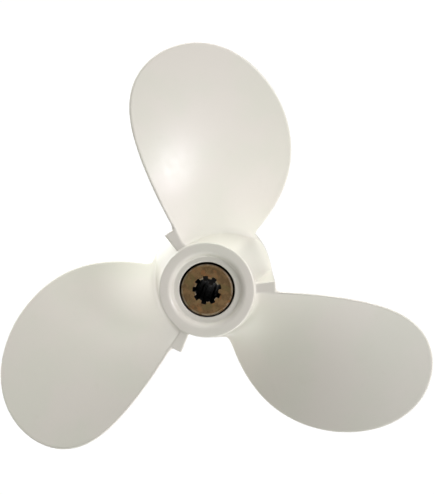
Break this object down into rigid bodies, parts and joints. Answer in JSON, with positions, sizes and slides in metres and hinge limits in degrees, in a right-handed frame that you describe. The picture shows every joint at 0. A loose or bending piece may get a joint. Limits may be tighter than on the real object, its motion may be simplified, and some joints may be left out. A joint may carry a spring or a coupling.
{
  "type": "outboard motor propeller",
  "caption": "Small right-hand cast boat propeller with broad rounded blades and a splined bronze bush held in a rubber damper.",
  "frame": {"origin": "on the shaft axis at the hub's front face", "axes": "+Z along the shaft axis, pointing astern; +Y along the first blade's reference line; the propeller turns clockwise seen from astern when it drives ahead"},
  "size_m": [0.1725, 0.1591, 0.06],
  "materials": {
    "white_paint": "satin warm white paint over cast aluminium",
    "rubber": "matt black moulded rubber",
    "bronze": "oxidised brown bronze"
  },
  "bodies": {
    "root": {"propeller_casting": "white_paint", "rubber_damper": "rubber", "splined_bush": "bronze"}
  },
  "joints": []
}
